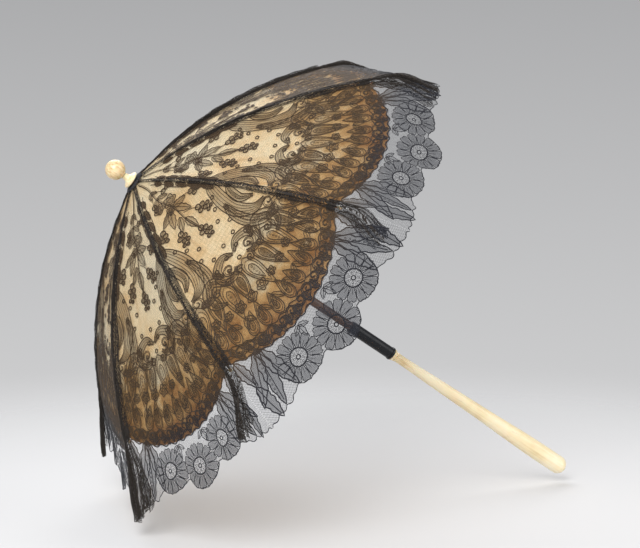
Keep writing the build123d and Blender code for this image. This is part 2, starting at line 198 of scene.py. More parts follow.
def raw_points(gore, across, along):
    """Points of the sheet over a gore, before any lift. Each gore is flat across, like the silk."""
    middle = gore_angle(gore)
    share = np.clip(across / half_width(along, middle), -1, 1)
    radius, station, drop = profile_at(middle + share * half_gore, along)
    lateral = share * radius * math.sin(half_gore)
    rise = ripple(gore, lateral, along)
    facing = out_from_stick(middle)
    normal = facing * np.sin(drop)[..., None] - down_stick * (np.cos(drop) * math.cos(half_gore))[..., None]
    normal /= np.linalg.norm(normal, axis=-1)[..., None]
    place = facing * (radius * math.cos(half_gore))[..., None]
    place = place + round_stick(middle) * lateral[..., None] + down_stick * station[..., None]
    return crown + (place + normal * rise[..., None]) / 1000


def sheet_points(gore, across, along, lift=0.0):
    """Points of the sheet over a gore in the row frame, lifted off it along its normal."""
    across, along = np.broadcast_arrays(np.asarray(across, float), np.asarray(along, float))
    here = raw_points(gore, across, along)
    side = np.where(across < 0, -1.0, 1.0)
    inner = raw_points(gore, across - side * normal_step, along)
    step_along = raw_points(gore, across, along + normal_step) - here
    normal = np.cross(step_along, here - inner) * side[..., None]
    normal /= np.maximum(np.linalg.norm(normal, axis=-1), 1e-12)[..., None]
    return here + normal * (np.broadcast_to(lift, across.shape) / 1000)[..., None]


# ---- Mesh helpers -------------------------------------------------------------------------

def make_object(name, points, faces, material, flat=None, layers=None):
    """Smooth mesh object from arrays. flat is a UV per point, layers are float attributes per point."""
    mesh = bpy.data.meshes.new(name)
    mesh.from_pydata(np.asarray(points).tolist(), [], np.asarray(faces).tolist())
    mesh.materials.append(material)
    mesh.polygons.foreach_set("use_smooth", [True] * len(mesh.polygons))
    for key, values in (layers or {}).items():
        attribute = mesh.attributes.new(key, "FLOAT", "POINT")
        attribute.data.foreach_set("value", np.asarray(values, np.float32))
    if flat is not None:
        corner = np.zeros(len(mesh.loops), np.int32)
        mesh.loops.foreach_get("vertex_index", corner)
        uv = mesh.uv_layers.new(name="cloth")
        uv.data.foreach_set("uv", np.asarray(flat, np.float32)[corner].ravel())
    mesh.update()
    made = bpy.data.objects.new(name, mesh)
    bpy.context.scene.collection.objects.link(made)
    return made


def grid_faces(rows, columns):
    """Quads of a grid of points stored row by row."""
    index = np.arange(rows * columns).reshape(rows, columns)
    quads = [index[:-1, :-1], index[:-1, 1:], index[1:, 1:], index[1:, :-1]]
    return np.stack(quads, axis=-1).reshape(-1, 4)


# ---- Materials ----------------------------------------------------------------------------

class Nodes:
    """A node tree, with short calls for the nodes that the materials share."""

    def __init__(self, tree):
        self.tree = tree

    def node(self, kind, inputs=None, **settings):
        made = self.tree.nodes.new(kind)
        for key, value in settings.items():
            setattr(made, key, value)
        for key, value in (inputs or {}).items():
            self.feed(made.inputs[key], value)
        return made

    def feed(self, socket, value):
        if hasattr(value, "is_output"):
            self.tree.links.new(value, socket)
        else:
            socket.default_value = value

    def math(self, operation, *values):
        return self.node("ShaderNodeMath", dict(enumerate(values)), operation=operation).outputs[0]

    def noise(self, vector, scale, detail=3.0, roughness=0.5):
        inputs = {"Vector": vector, "Scale": scale, "Detail": detail, "Roughness": roughness}
        return self.node("ShaderNodeTexNoise", inputs).outputs["Fac"]

    def ramp(self, value, stops):
        made = self.node("ShaderNodeValToRGB", {"Fac": value})
        elements = made.color_ramp.elements
        while len(elements) < len(stops):
            elements.new(0.5)
        for element, (place, colour) in zip(elements, stops):
            element.position = place
            element.color = (*colour, 1)
        return made.outputs["Color"]

    def range(self, value, low, high, to_low=0.0, to_high=1.0):
        inputs = {"Value": value, "From Min": low, "From Max": high, "To Min": to_low, "To Max": to_high}
        return self.node("ShaderNodeMapRange", inputs, interpolation_type="SMOOTHSTEP").outputs["Result"]

    def mix(self, share, first, second):
        """Two colours mixed, each a socket or three numbers."""
        first, second = [value if hasattr(value, "is_output") else (*value, 1) for value in (first, second)]
        inputs = {"Factor": share, "A": first, "B": second}
        return self.node("ShaderNodeMix", inputs, data_type="RGBA").outputs["Result"]

    def blend(self, share, first, second):
        """Two numbers mixed."""
        return self.node("ShaderNodeMix", {"Factor": share, "A": first, "B": second}).outputs[0]

    def polish(self, cloud, low, high):
        """A roughness that follows a noise."""
        return self.range(cloud, 0.3, 0.7, low, high)

    def bump(self, height, strength, distance):
        made = self.node("ShaderNodeBump", {"Height": height, "Strength": strength, "Distance": distance})
        return made.outputs["Normal"]

    def place(self):
        return self.node("ShaderNodeTexCoord").outputs["Object"]

    def scaled(self, vector, scale):
        return self.node("ShaderNodeMapping", {"Vector": vector, "Scale": scale}).outputs[0]

    def cloth(self):
        made = self.node("ShaderNodeUVMap")
        made.uv_map = "cloth"
        split = self.node("ShaderNodeSeparateXYZ", {"Vector": made.outputs["UV"]})
        return made.outputs["UV"], split.outputs["X"], split.outputs["Y"]

    def layer(self, name):
        return self.node("ShaderNodeAttribute", attribute_name=name).outputs["Fac"]

    def threads(self, across, along, pitch, width, slope):
        """1 on a thread and 0 between, for one family of slanting threads."""
        slant = self.math("MULTIPLY_ADD", along, slope, across)
        phase = self.math("FRACT", self.math("DIVIDE", slant, pitch))
        distance = self.math("ABSOLUTE", self.math("SUBTRACT", phase, 0.5))
        edge = width / pitch / 2
        return self.range(distance, edge * 1.25, edge * 0.75)

    def crossed_threads(self, across, along, pitch, width, slope):
        return self.math("MAXIMUM", self.threads(across, along, pitch, width, slope),
                         self.threads(across, along, pitch, width, -slope))


class Shader(Nodes):
    """A material with one Principled shader."""

    socket_names = {"color": "Base Color", "roughness": "Roughness", "metallic": "Metallic", "alpha": "Alpha",
                    "normal": "Normal", "sheen": "Sheen Weight", "sheen_roughness": "Sheen Roughness",
                    "coat": "Coat Weight", "coat_roughness": "Coat Roughness",
                    "specular": "Specular IOR Level",
                    "subsurface": "Subsurface Weight", "subsurface_scale": "Subsurface Scale"}

    def __init__(self, name):
        self.material = bpy.data.materials.new(name)
        self.material.use_nodes = True
        super().__init__(self.material.node_tree)
        self.surface = self.tree.nodes["Principled BSDF"]

    def set(self, **values):
        for key, value in values.items():
            self.feed(self.surface.inputs[self.socket_names[key]], value)


def silk_material():
    shader = Shader("aged_silk")
    uv, across, along = shader.cloth()
    place = shader.place()
    cloud = shader.noise(place, 14, 4, 0.6)
    stain = shader.noise(place, 42, 5, 0.65)
    base = shader.ramp(cloud, [(0.30, (0.72, 0.44, 0.18)), (0.42, (0.86, 0.62, 0.33)),
                               (0.54, (0.93, 0.76, 0.48)), (0.72, (0.97, 0.86, 0.62))])
    towards_hem = shader.layer("hem")
    patches = shader.math("MULTIPLY", shader.math("SUBTRACT", stain, 0.5), 0.9)
    browned = shader.math("ADD", towards_hem, patches)
    tanned = shader.mix(shader.range(browned, 0.64, 0.84), base, (0.78, 0.48, 0.19))
    colour = shader.mix(shader.range(browned, 0.78, 1.04), tanned, (0.44, 0.20, 0.058))
    drawn_out = shader.scaled(uv, (0.16, 0.012, 1))
    streak = shader.range(shader.noise(drawn_out, 1, 4, 0.6), 0.54, 0.74, 0, 0.5)
    colour = shader.mix(streak, colour, (0.60, 0.33, 0.13))
    warp = shader.threads(across, along, 0.8, 0.4, 0.0)
    weft = shader.threads(along, across, 0.8, 0.4, 0.0)
    weave = shader.math("ADD", warp, weft)
    shader.set(color=colour, roughness=0.55, sheen=0.08, sheen_roughness=0.4, specular=0.25,
               normal=shader.bump(weave, 0.35, 0.0002))
    return shader.material


def thread_tone(shader, vector, scale, dark, light):
    """Black thread, mottled where it has worn grey."""
    return shader.ramp(shader.noise(vector, scale, 3), [(0.3, dark), (0.7, light)])


def thread_brown_over_silk(shader, uv, along, scale, dark, light):
    """Black thread, given a brown tone where it lies over the silk and kept black in the flounce."""
    black = thread_tone(shader, uv, scale, dark, light)
    brown = thread_tone(shader, uv, scale, (0.022, 0.013, 0.006), (0.085, 0.052, 0.026))
    return shader.mix(shader.range(along, 262, 312), brown, black)


def lace_material():
    """Open net, half-stitch and close work. The layer "fill" tells where the design has each."""
    shader = Shader("black_lace")
    uv, across, along = shader.cloth()
    fill = shader.layer("fill")
    net = shader.crossed_threads(across, along, 1.8, 0.25, 0.75)
    half_stitch = shader.crossed_threads(across, along, 1.15, 0.29, 0.9)
    rows = shader.threads(along, across, 1.3, 0.55, 0.25)
    close_work = shader.math("MAXIMUM", shader.crossed_threads(across, along, 1.05, 0.55, 0.9), rows)
    has_stitch = shader.range(fill, 0.12, 0.30)
    is_close = shader.range(fill, 0.60, 0.80)
    alpha = shader.blend(has_stitch, net, shader.blend(is_close, half_stitch, close_work))
    tone = thread_brown_over_silk(shader, uv, along, 1.5, (0.010, 0.011, 0.016), (0.034, 0.037, 0.048))
    shader.set(color=tone, roughness=0.6, alpha=alpha, sheen=0.05, specular=0.15)
    return shader.material


def cord_material():
    """The shiny outlining thread of the lace."""
    shader = Shader("lace_cord")
    uv, across, along = shader.cloth()
    twist = shader.threads(across, along, 0.9, 0.5, 1.3)
    tone = thread_brown_over_silk(shader, uv, along, 0.8, (0.005, 0.005, 0.008), (0.020, 0.021, 0.028))
    shader.set(color=tone, roughness=0.5, normal=shader.bump(twist, 0.4, 0.0002), sheen=0.05, specular=0.2)
    return shader.material


def gather_material():
    """Lace pleated up along a rib: nearly black, with long gaps that the silk glints through."""
    shader = Shader("gathered_lace")
    uv, across, along = shader.cloth()
    threads = shader.crossed_threads(across, along, 1.7, 0.5, 0.45)
    drawn_out = shader.scaled(uv, (0.40, 0.040, 1))
    gap = shader.range(shader.noise(drawn_out, 1, 4, 0.65), 0.45, 0.51)
    fleck = shader.range(shader.noise(uv, 0.40, 3, 0.6), 0.52, 0.57)
    open_work = shader.math("MAXIMUM", gap, fleck)
    alpha = shader.math("MAXIMUM", threads, shader.math("SUBTRACT", 1.0, open_work))
    tone = thread_tone(shader, uv, 1.2, (0.008, 0.007, 0.007), (0.046, 0.038, 0.032))
    shader.set(color=tone, roughness=0.85, alpha=alpha, sheen=0.05, specular=0.1,
               normal=shader.bump(threads, 0.5, 0.0004))
    return shader.material


def ribbon_material():
    """Black corded ribbon."""
    shader = Shader("black_ribbon")
    uv, across, along = shader.cloth()
    rib = shader.threads(across, along, 0.55, 0.3, 0.0)
    tone = thread_tone(shader, uv, 0.9, (0.008, 0.008, 0.011), (0.035, 0.035, 0.042))
    shader.set(color=tone, roughness=0.55, sheen=0.15, specular=0.3, normal=shader.bump(rib, 0.5, 0.0002))
    return shader.material


stick_slope = -math.atan2(-down_stick[2], down_stick[0])


def along_stick(shader, scale_along, scale_across):
    """Coordinates stretched along the stick."""
    inputs = {"Vector": shader.place(), "Axis": (0, 1, 0), "Angle": stick_slope}
    turned = shader.node("ShaderNodeVectorRotate", inputs).outputs[0]
    return shader.scaled(turned, (scale_along, scale_across, scale_across))


def ivory_material(name, darkest, middle, pale):
    shader = Shader(name)
    grain = shader.noise(along_stick(shader, 8, 420), 1, 5, 0.6)
    cloud = shader.noise(shader.place(), 22, 4)
    # The darkest stop is brown staining. In the ball's darker copy it is also painted shade.
    colour = shader.ramp(shader.math("MULTIPLY_ADD", grain, 0.45, shader.math("MULTIPLY", cloud, 0.55)),
                         [(0.32, darkest), (0.46, middle), (0.62, pale)])
    crack = shader.range(shader.noise(along_stick(shader, 14, 900), 1, 2), 0.70, 0.76)
    colour = shader.mix(crack, colour, (0.42, 0.27, 0.12))
    shader.set(color=colour, roughness=shader.polish(cloud, 0.28, 0.42), subsurface=0.12,
               subsurface_scale=0.004, coat=0.25, coat_roughness=0.2, normal=shader.bump(grain, 0.12, 0.0003))
    return shader.material


def metal_material(name, low, high, roughness, wear=None):
    shader = Shader(name)
    cloud = shader.noise(shader.place(), 90, 4, 0.6)
    scratch = shader.noise(along_stick(shader, 20, 700), 1, 3)
    colour = shader.ramp(cloud, [(0.35, low), (0.65, high)])
    if wear is not None:
        colour = shader.mix(shader.range(scratch, 0.62, 0.74, 0, 0.7), colour, wear)
    shader.set(color=colour, metallic=1.0, roughness=shader.polish(cloud, roughness, roughness + 0.18),
               normal=shader.bump(scratch, 0.15, 0.0001))
    return shader.material


def enamel_material():
    shader = Shader("black_enamel")
    cloud = shader.noise(shader.place(), 120, 3)
    scratch = shader.range(shader.noise(along_stick(shader, 30, 1100), 1, 2), 0.66, 0.73)
    colour = shader.mix(scratch, (0.004, 0.005, 0.008), (0.035, 0.032, 0.028))
    shader.set(color=colour, roughness=shader.polish(cloud, 0.26, 0.42), coat=0.1, coat_roughness=0.2,
               specular=0.25, normal=shader.bump(cloud, 0.05, 0.0002))
    return shader.material


def wood_material():
    shader = Shader("dark_wood")
    grain = shader.noise(along_stick(shader, 12, 520), 1, 5, 0.65)
    colour = shader.ramp(grain, [(0.32, (0.035, 0.014, 0.006)), (0.52, (0.10, 0.043, 0.018)),
                                 (0.70, (0.17, 0.08, 0.035))])
    shader.set(color=colour, roughness=shader.polish(grain, 0.32, 0.5), coat=0.3, coat_roughness=0.25,
               normal=shader.bump(grain, 0.25, 0.0003))
    return shader.material


silk = silk_material()
lace = lace_material()
cord_black = cord_material()
gathered = gather_material()
ribbon = ribbon_material()
ivory = ivory_material("old_ivory", (0.62, 0.44, 0.20), (0.84, 0.70, 0.43), (0.91, 0.82, 0.60))
# The ball's ivory is a darker, browner copy. Its brown patches are painted shade for the ball's shading, laid
# over age staining.
ivory_stain_and_painted_shade = ivory_material("ivory_stain_and_painted_shade", (0.42, 0.21, 0.07), (0.78, 0.60, 0.33), (0.93, 0.84, 0.63))
brass = metal_material("aged_brass", (0.30, 0.17, 0.06), (0.72, 0.50, 0.22), 0.28, (0.85, 0.66, 0.36))
steel = metal_material("drawn_steel", (0.25, 0.25, 0.26), (0.55, 0.55, 0.56), 0.3)
rib_black = metal_material("blackened_steel", (0.02, 0.02, 0.024), (0.07, 0.07, 0.078), 0.38,
                           (0.22, 0.2, 0.18))
enamel = enamel_material()
wood = wood_material()


# ---- The lace's design for one gore (mm) --------------------------------------------------

class Design:
    """Outlining cords and filled shapes, in (across, along) millimetres."""

    def __init__(self):
        self.cords = []
        self.fills = []

    def cord(self, points, width):
        self.cords.append((np.asarray(points, float), width))

    def fill(self, points, value):
        self.fills.append((np.asarray(points, float), value))


design = Design()


def placed(points, x, y, angle=0.0, flip=1.0):
    """Local (sideways, forwards) points turned and moved. Angle 0 points towards the hem."""
    points = np.asarray(points, float)
    cosine, sine = math.cos(angle), math.sin(angle)
    sideways, forwards = points[:, 0] * flip, points[:, 1]
    across, along = sideways * cosine + forwards * sine, forwards * cosine - sideways * sine
    return np.stack([x + across, y + along], axis=1)


def smooth_line(points, per_span=6):
    """Catmull-Rom curve through a few points."""
    points = np.asarray(points, float)
    ends = np.vstack([2 * points[0] - points[1], points, 2 * points[-1] - points[-2]])
    t = np.linspace(0, 1, per_span, endpoint=False)[:, None]
    spans = []
    for a, b, c, d in zip(ends[:-3], ends[1:-2], ends[2:-1], ends[3:]):
        spans.append(0.5 * (2 * b + (c - a) * t + (2 * a - 5 * b + 4 * c - d) * t ** 2
                            + (3 * b - a - 3 * c + d) * t ** 3))
    return np.vstack(spans + [points[-1:]])


def around(x, y, reach, angle):
    """Points at a reach and an angle about a centre."""
    return np.stack([x + reach * np.cos(angle), y + reach * np.sin(angle)], axis=1)


def ring(x, y, radius, width, sides=9):
    design.cord(around(x, y, radius, np.linspace(0, 2 * math.pi, sides + 1)), width)


def beads(spots, radius=0.95, width=0.45):
    for x, y in spots:
        ring(x, y, radius, width, 6)


def dot(x, y):
    """One of the small rings scattered over the net."""
    ring(x, y, 2.1, 1.25)


def petal_outline(inner, outer):
    """Half of a double-lobed petal, as (radius, share of its half angle), from its foot to its middle."""
    return [(inner, -0.55), (outer * 0.72, -0.95), (outer * 0.93, -0.80), (outer, -0.42), (outer * 0.95, 0)]


def daisy(x, y, radius, turn):
    petals = 13
    inner = radius * 0.37
    half_angle = math.pi / petals
    half = petal_outline(inner, radius)
    outline = half + [(reach, -share) for reach, share in reversed(half[:-1])]
    for index in range(petals):
        middle = turn + 2 * half_angle * index
        angles = [middle + share * half_angle for reach, share in outline]
        points = [(x + reach * math.sin(angle), y + reach * math.cos(angle))
                  for (reach, share), angle in zip(outline, angles)]
        design.fill(points, 0.7)
        design.cord(points, 0.85)
        vein = np.outer([inner, radius * 0.7], [math.sin(middle), math.cos(middle)])
        design.cord(vein + [x, y], 0.4)
    ring(x, y, inner, 1.5, 20)
    ring(x, y, radius * 0.09, 1.3, 8)
    for count, distance in ((12, 0.28), (7, 0.185)):
        beads(around(x, y, radius * distance, 2 * math.pi * np.arange(count) / count), radius * 0.045, 0.4)


def leaf(x, y, angle, length, width, fill=0.7, teeth=4, flip=1.0, line=0.8):
    """A toothed leaf with a midrib."""
    side = []
    for index in range(teeth * 2 + 1):
        share = index / (teeth * 2)
        bulge = math.sin(math.pi * share ** 0.8) ** 0.8
        tooth = 1.0 if index % 2 else 0.78
        side.append((width / 2 * bulge * tooth, length * share))
    other = [(-a, b) for a, b in reversed(side[1:-1])]
    outline = placed(side + other + side[:1], x, y, angle, flip)
    design.fill(outline, fill)
    design.cord(outline, line)
    midrib = [(0, 0), (width * 0.06, length * 0.5), (0, length * 0.92)]
    design.cord(placed(midrib, x, y, angle, flip), 0.75 * line)


def berry(x, y, radius):
    ring(x, y, radius, 1.5, 9)
    ring(x, y, radius * 0.35, 0.5, 6)


def berries(x, y, angle, count):
    """A tapering spray of berries."""
    spots = [(0, 0), (3.6, 5), (-3.4, 5.6), (0.4, 10.6), (5.6, 11.5), (-1.6, 16), (3.0, 17.2)]
    for index, spot in enumerate(placed(spots[:count], x, y, angle)):
        berry(*spot, 3.1 - 0.2 * index)


def rose(x, y, radius, turn):
    """Overlapping lobed outlines, one inside the other."""
    for scale, lobes, width in ((1.0, 5, 1.0), (0.64, 4, 0.9), (0.32, 3, 0.8)):
        angle = np.linspace(0, 2 * math.pi, 12 * lobes // 2 + 1)
        reach = radius * scale * (0.86 + 0.14 * np.cos(lobes * angle + turn))
        points = np.stack([x + reach * np.sin(angle), y + reach * np.cos(angle)], axis=1)
        design.fill(points, 0.5)
        design.cord(points, width)


def band(spine, width, lines, beaded=False, fill=0.4):
    """A scroll: a tapering band about a spine, with parallel cords and perhaps a row of beads."""
    spine = smooth_line(spine)
    step = np.gradient(spine, axis=0)
    step /= np.linalg.norm(step, axis=1)[:, None]
    side = np.stack([-step[:, 1], step[:, 0]], axis=1)
    share = np.linspace(0, 1, len(spine))
    half = width / 2 * np.maximum(np.sin(math.pi * share ** 0.85), 0.12) ** 0.6
    left, right = spine + side * half[:, None], spine - side * half[:, None]
    design.fill(np.vstack([left, right[::-1]]), fill)
    for index in range(lines):
        offset = -1 + 2 * index / (lines - 1)
        design.cord(spine + side * (half * offset)[:, None], 1.0 if abs(offset) == 1 else 0.55)
    if beaded:
        length = np.concatenate([[0], np.cumsum(np.linalg.norm(np.diff(spine, axis=0), axis=1))])
        distance = np.arange(3, length[-1] - 3, 2.9)
        beads(np.stack([np.interp(distance, length, spine[:, axis]) for axis in (0, 1)], axis=1))


def volute(x, y, radius, start, turns, flip=1.0, width=0.9):
    """A spiral of cord with an inner companion."""
    for scale in (1.0, 0.74):
        share = np.linspace(0, 1, int(14 * turns))
        angle = start + flip * share * turns * 2 * math.pi
        design.cord(around(x, y, radius * scale * (1 - 0.86 * share), angle), width * scale)


def teardrop(length, width):
    """Outline of a paisley drop that curls at its tip."""
    share = np.linspace(0, 1, 13)
    half = width / 2 * np.sin(math.pi * share ** 0.62) ** 0.9
    bend = width * 0.34 * share ** 2
    right = np.stack([half + bend, length * share], axis=1)
    left = np.stack([-half + bend, length * share], axis=1)
    return np.vstack([right, left[::-1], right[:1]])


def paisley(x, y, angle, length, width, flip, fill):
    for scale, line, value in ((1.0, 1.0, fill), (0.76, 0.6, 0.22), (0.48, 0.8, fill)):
        outline = teardrop(length * scale, width * scale) + [0, length * (1 - scale) * 0.42]
        points = placed(outline, x, y, angle, flip)
        design.fill(points, value)
        design.cord(points, line)
    row = [(width * 0.1 * share, length * share) for share in np.linspace(0.30, 0.62, 5)]
    beads(placed(row, x, y, angle, flip), 1.0)


def fan(x, y, angle, length, leaves, flip):
    """Long leaves spread from one root, with a beaded ribbon down the middle one."""
    for index in range(leaves):
        spread = (index - (leaves - 1) / 2) * 0.36
        reach = length * (1 - 0.22 * abs(spread))
        leaf(x, y, angle + spread * flip, reach, length * 0.26, 0.7, 5, flip, 1.3)
    row = [(length * 0.05, length * share) for share in np.linspace(0.25, 0.85, 9)]
    beads(placed(row, x, y, angle, flip), width=0.5)


def mean_half_width(along):
    return float(half_width(along, half_gore))


daisy_spots = [(-44.0, 322.0), (0.0, 334.0), (44.0, 322.0)]
daisy_radius = 23.5
flounce_floor = 338.0


def flounce_edge(across):
    """Where the lace ends: round the daisies, and out to toothed points beside the ribs."""
    across = np.asarray(across, float)
    edge = flounce_floor + 3 * np.cos(across / 30)
    reach = daisy_radius + 0.6
    for middle, row in daisy_spots:
        gap = np.abs(across - middle)
        circle = row + np.sqrt(np.maximum(reach ** 2 - gap ** 2, 0)) - np.abs(np.sin(gap * 0.42))
        edge = np.where(gap < reach, np.maximum(edge, circle), edge)
    beside = smooth_step(np.abs(across), 62, 78)
    return edge + beside * (4 + 3.2 * np.abs(np.sin(across * 0.3)))


def draw_sprig():
    """Stem, roses, leaves and berries down the middle of the gore."""
    stem = smooth_line([(0, 8), (1.5, 30), (-1.5, 58), (2, 88), (0, 118), (2, 146)])
    design.cord(stem, 1.0)
    design.cord(stem + [1.5, 0], 0.45)
    for y, spread, length in ((38, 0.45, 11), (54, 0.7, 15)):
        for side in (-1, 1):
            leaf(side * 0.8, y, side * spread, length, length * 0.42, 0.5, 3, side)
    for side, angle, length in ((-1, 1.1, 20), (1, 1.2, 18), (-1, 0.45, 26), (1, 0.40, 27)):
        leaf(side * 3, 86, side * angle, length, 10, 0.5, 4, side)
    leaf(1, 112, 0.05, 24, 10, 0.5, 4)
    leaf(-2, 104, -0.5, 20, 9, 0.5, 4)
    rose(6.0, 75, 9.0, 0.4)
    rose(-8.0, 69, 7.5, 1.6)
    rose(-2.5, 86, 6.0, 2.2)
    for x, y, angle, count in ((-25, 98, -0.7, 5), (26, 96, 0.8, 5), (-15, 121, -0.35, 7), (17, 119, 0.4, 7),
                               (2, 140, 0.0, 7), (-9, 60, -0.8, 2), (10, 56, 0.8, 2)):
        design.cord(smooth_line([(x * 0.25, y - 14), (x * 0.7, y - 7), (x, y)], 3), 0.7)
        berries(x, y, angle, count)


def draw_dots():
    """Rings scattered over the open net, clear of the sprig and of the scrolls."""
    for row, y in enumerate(np.arange(30, 206, 12.5)):
        for column in range(-5, 6):
            x = (column + 0.5 * (row % 2)) * 16.5
            sprig = 11 + 24 * math.exp(-((y - 112) / 30) ** 2)
            room = mean_half_width(y) - (7 if y < 108 else 7 + (y - 108) * 0.36)
            if (abs(x) > sprig or y > 168) and abs(x) < room:
                dot(x, y)


def draw_side_scrolls(side):
    """Large C-scrolls that lean in from the rib, with leaves along the rib behind them."""
    def at(share, y):
        return (side * share * mean_half_width(y), y)
    band([at(0.99, 112), at(0.84, 124), at(0.66, 146), at(0.60, 168), at(0.70, 186), at(0.90, 190)],
         16, 6, fill=0.24)
    band([at(0.99, 138), at(0.86, 150), at(0.80, 164), at(0.90, 176)], 10, 4, True, 0.28)
    band([at(0.60, 150), at(0.50, 172), at(0.52, 192), at(0.66, 206), at(0.84, 204)], 12, 5, True)
    volute(*at(0.86, 196), 8, 1.2, 1.4, side)
    for y, length in ((34, 14), (50, 18), (68, 20), (86, 22), (104, 22)):
        leaf(side * (mean_half_width(y) - 3), y, side * 0.22, length, 6.5, 0.8, 4, side, 1.1)
    edge = [(side * (mean_half_width(y) - 6 - 1.5 * math.sin(y / 9)), y) for y in np.arange(30, 116, 5)]
    design.cord(smooth_line(edge, 2), 0.8)


def draw_middle_scrolls(side):
    """A pair of scrolls that meet in a heart below the open field."""
    heart = [(1, 196), (12, 188), (25, 194), (27, 207), (17, 214), (9, 208)]
    hook = [(27, 214), (36, 196), (48, 200), (52, 216), (42, 226)]
    band([(side * x, y) for x, y in heart], 10, 4)
    volute(side * 16, 203, 7.5, math.pi / 2, 1.5, -side)
    band([(side * x, y) for x, y in hook], 11, 4, True)
    leaf(side * 30, 190, side * -0.4, 15, 8, 0.8, 3, side)


def border_line(share, middle, dip):
    """A point on a line that sags in mid-gore, at a share of the gore's half width."""
    along = middle - dip * share ** 2
    return share * mean_half_width(along), along


def draw_border():
    """The dense paisley border down to the silk's hem."""
    shares = np.linspace(-1, 1, 41)
    top = [border_line(share, 208, 18) for share in shares]
    low = [border_line(share, 282, 38) for share in shares]
    hem = [border_line(share, 302, 38) for share in shares]
    design.fill(top + low[::-1], 0.24)
    design.fill(low + hem[::-1], 0.5)
    for index in range(-4, 5):
        share = index / 4.5
        side = 1 if index >= 0 else -1
        x, y = border_line(share, 209, 13)
        tilt = 0.45 * share + random.uniform(-0.08, 0.08)
        paisley(x, y, tilt, random.uniform(42, 52), random.uniform(15, 18), side, 0.7 if index % 2 else 0.5)
        volute(x + 7, y + 6, 5.5, 0, 1.4, side)
    for index in range(-5, 6):
        share = index / 5.6
        side = 1 if index >= 0 else -1
        x, y = border_line(share, 284, 36)
        tilt = math.pi + 0.4 * share + random.uniform(-0.2, 0.2)
        paisley(x, y, tilt, random.uniform(26, 34), 12, side, 0.5)
        for turn in (-0.5, 0.5):
            leaf(x + 6, y - 22, turn, random.uniform(12, 17), 6.0, 0.55, 3, side)
        x, y = border_line(share + 0.08, 246, 26)
        rose(x, y, random.uniform(5.0, 7.0), random.uniform(0, 3))
    for index in range(-7, 8):
        x, y = border_line(index / 7.6, 290, 37)
        volute(x, y, 7.0, math.pi, 1.3, 1 if index % 2 else -1, 1.1)
        leaf(x + 5, y - 2, random.uniform(-0.8, 0.8), 13, 7, 0.75, 3)
        leaf(x - 5, y - 1, random.uniform(-0.8, 0.8), 12, 6, 0.68, 3)
    for inset, width in ((-1.0, 1.4), (4.5, 0.8), (15.0, 0.9)):
        line = np.array([border_line(share, 300 - inset, 38) for share in np.linspace(-1, 1, 81)])
        line[:, 1] += 1.5 * np.sin(np.arange(81) * 1.1 + inset)
        design.cord(line, width)
    beads([border_line(share, 293, hem_dip) for share in np.linspace(-0.97, 0.97, 51)], 1.0)


def draw_flounce():
    """Daisies along the edge, leaf fans beside the ribs, and light sprays between."""
    for side in (-1, 1):
        fan(side * 63, 280, side * 0.34, 62, 3, side)
        leaf(side * 86, 270, side * 0.10, 36, 12, 0.7, 5, side, 1.3)
        leaf(side * 91, 304, side * 0.04, 40, 13, 0.7, 5, side, 1.3)
        beads([(side * (86 + 3 * share), 270 + 36 * share) for share in np.linspace(0.2, 0.85, 9)], width=0.5)
        for angle, length in ((0.15, 14), (-0.9, 11), (1.1, 11)):
            leaf(side * 21, 303, side * angle, length, length * 0.5, 0.5, 3, side)
    for index, (x, y) in enumerate(daisy_spots):
        daisy(x, y, daisy_radius, 0.2 * index)
    across = np.arange(-110, 110.5, 1.5)
    design.cord(np.stack([across, flounce_edge(across) - 0.5], axis=1), 0.9)


draw_sprig()
draw_dots()
for side in (-1, 1):
    draw_side_scrolls(side)
    draw_middle_scrolls(side)
draw_border()
draw_flounce()


def inside_polygon(points, polygon):
    """Even-odd test of many points."""
    x, y = points[:, 0], points[:, 1]
    found = np.zeros(len(points), bool)
    for (x0, y0), (x1, y1) in zip(polygon, np.roll(polygon, -1, axis=0)):
        if y0 == y1:
            continue
        crosses = (y0 > y) != (y1 > y)
        found ^= crosses & (x < (x1 - x0) * (y - y0) / (y1 - y0) + x0)
    return found


def fill_values(points):
    """How densely the design fills each (across, along) point."""
    values = np.zeros(len(points))
    for polygon, value in design.fills:
        low, high = polygon.min(0), polygon.max(0)
        near = np.flatnonzero(np.all((points >= low) & (points <= high), axis=1))
        hit = near[inside_polygon(points[near], polygon)]
        values[hit] = value
    return values


# ---- Cutting the cover into the pieces that fold ------------------------------------------

# Each piece lies over one rib, from mid-gore to mid-gore, and the cover is also divided along its
# length, because a closing canopy narrows more near the hem than near the crown. The last number
# is the share of its width that a piece keeps when the canopy is closed.
lace_zones = [("top", 3.0, 95.0, 0.44), ("middle", 95.0, 200.0, 0.31), ("border", 200.0, 300.0, 0.17),
              ("flounce", 300.0, None, 0.09)]
silk_zones = [("top", 0.0, 95.0, 0.44), ("middle", 95.0, 200.0, 0.31), ("border", 200.0, None, 0.17)]
lace_columns = {"top": 26, "middle": 46, "border": 64, "flounce": 78}
cell_length = 1.4
silk_columns = 26
silk_rows = 44
cord_step = 3.0
cord_foot = 0.1
cord_rise = 0.45        # a cord's height over its foot, as a share of its width


def halves_over(rib):
    """The two half gores that meet over a rib: (gore, side of that gore)."""
    return ((rib - 1) % rib_count, 1), (rib, -1)


def fold_with(piece, rib):
    """Rides on the rib."""
    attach(piece, f"rib_{rib + 1}")
    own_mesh(piece)


def cover_piece(name, rib, material, halves, layer=None):
    """One piece over a rib, from a (points, faces, flat places, layer values) for each half gore."""
    points, faces, flat, values = [], [], [], []
    for places, quads, cut, value in halves:
        faces.append(quads + sum(map(len, points)))
        points.append(places.reshape(-1, 3))
        flat.append(cut.reshape(-1, 2))
        values.append(value.ravel())
    layers = {layer: np.concatenate(values)} if layer else {}
    piece = make_object(name, np.vstack(points), np.vstack(faces), material, np.vstack(flat), layers)
    fold_with(piece, rib)
    return piece


